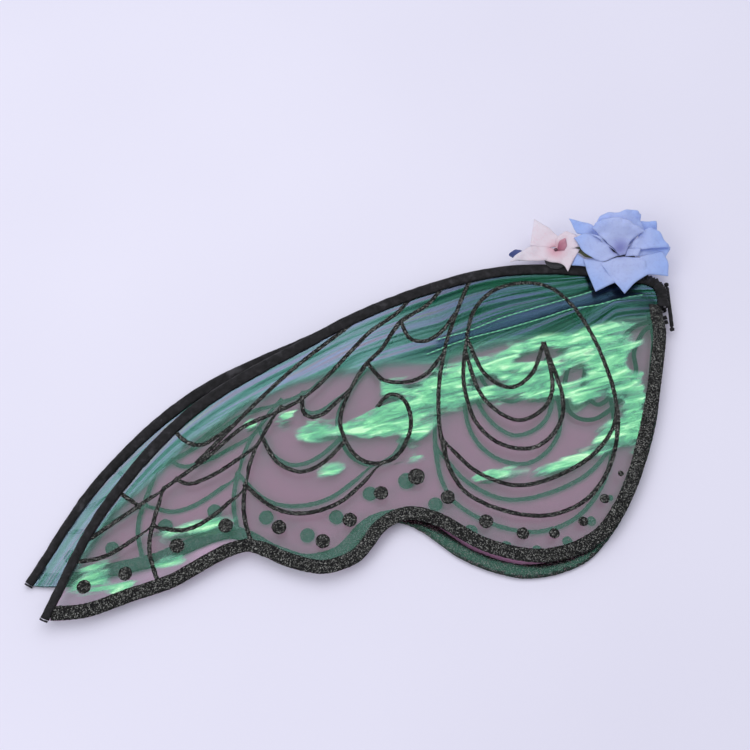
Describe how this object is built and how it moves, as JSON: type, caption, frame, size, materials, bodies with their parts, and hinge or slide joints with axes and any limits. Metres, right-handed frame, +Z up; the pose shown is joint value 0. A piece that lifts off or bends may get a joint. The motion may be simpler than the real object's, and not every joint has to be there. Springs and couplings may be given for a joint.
{
  "type": "costume fairy wings",
  "caption": "Fairy costume wings folded flat: iridescent film with black glitter veins, wired fabric leading edges, a fold spine, elastic shoulder loops and fabric flowers.",
  "frame": {"origin": "on the spine's flat outer face, 8 mm below its middle, on the folded pack's middle plane", "axes": "+Y along the spine towards the flowers; the folded wings reach along -X; +Z up through the pack, towards the flowers and the left wing"},
  "size_m": [0.4294, 0.2945, 0.0297],
  "materials": {
    "film": "clear iridescent film, finely creased",
    "glitter": "black glitter glue with a fine sparkle",
    "black_fabric": "matte black crinkled fabric",
    "thread": "black sewing thread",
    "steel": "drawn spring wire",
    "vinyl": "dull black dip",
    "elastic": "ribbed black elastic tape",
    "felt": "black felt",
    "blue_fabric": "matte periwinkle blue fabric",
    "dark_blue_fabric": "matte dark blue fabric",
    "pink_fabric": "matte pale pink fabric",
    "deep_pink_fabric": "matte pink fabric",
    "green_fabric": "matte olive green fabric",
    "dark_bead": "dark glossy bead"
  },
  "bodies": {
    "left_wing": {"left_film": "film", "left_glitter_print": "glitter", "left_leading_edge_sleeve": "black_fabric", "left_root_gather": "black_fabric", "left_frame_wire": "steel", "left_wire_tip_cap": "vinyl", "left_tip_bar_tack": "thread", "left_sleeve_seam_thread": "thread", "rose_tie_thread": "thread", "blossom_tie_thread": "thread", "rose_felt_pad": "felt", "rose_leaf": "green_fabric", "rose_outer_petal_1": "blue_fabric", "rose_outer_petal_2": "blue_fabric", "rose_outer_petal_3": "blue_fabric", "rose_outer_petal_4": "blue_fabric", "rose_outer_petal_5": "blue_fabric", "rose_outer_petal_6": "blue_fabric", "rose_middle_petal_1": "blue_fabric", "rose_middle_petal_2": "blue_fabric", "rose_middle_petal_3": "blue_fabric", "rose_middle_petal_4": "blue_fabric", "rose_inner_petal_1": "blue_fabric", "rose_inner_petal_2": "blue_fabric", "rose_inner_petal_3": "blue_fabric", "rose_centre": "blue_fabric", "blossom_felt_pad": "felt", "blossom_petals": "pink_fabric", "blossom_inner_petal": "deep_pink_fabric", "blossom_bead": "dark_bead", "blue_filler_petal": "dark_blue_fabric"},
    "right_wing": {"spine_binding": "black_fabric", "spine_core_cord": "thread", "spine_top_knot": "thread", "spine_bottom_knot": "thread", "right_film": "film", "right_glitter_print": "glitter", "right_leading_edge_sleeve": "black_fabric", "right_root_gather": "black_fabric", "right_frame_wire": "steel", "right_wire_tip_cap": "vinyl", "right_tip_bar_tack": "thread", "right_sleeve_seam_thread": "thread"},
    "left_strap": {"left_shoulder_strap": "elastic", "left_strap_upper_tack": "thread", "left_strap_lower_tack": "thread"},
    "right_strap": {"right_shoulder_strap": "elastic", "right_strap_upper_tack": "thread", "right_strap_lower_tack": "thread"}
  },
  "joints": [
    {"name": "wing_fold", "type": "hinge", "parent": "right_wing", "child": "left_wing", "pos_m": [-0.0015, 0, 0], "axis": [0, 1, 0], "range_deg": [0, 150]},
    {"name": "left_strap_splay", "type": "hinge", "parent": "right_wing", "child": "left_strap", "pos_m": [-0.0015, 0, 0], "axis": [0, 1, 0], "range_deg": [0, 103]},
    {"name": "right_strap_splay", "type": "hinge", "parent": "right_wing", "child": "right_strap", "pos_m": [-0.0015, 0, 0], "axis": [0, 1, 0], "range_deg": [0, 58]}
  ],
  "couplings": [
    {"joint": "left_strap_splay", "follows": "wing_fold", "ratio": 0.65},
    {"joint": "right_strap_splay", "follows": "wing_fold", "ratio": 0.35}
  ]
}
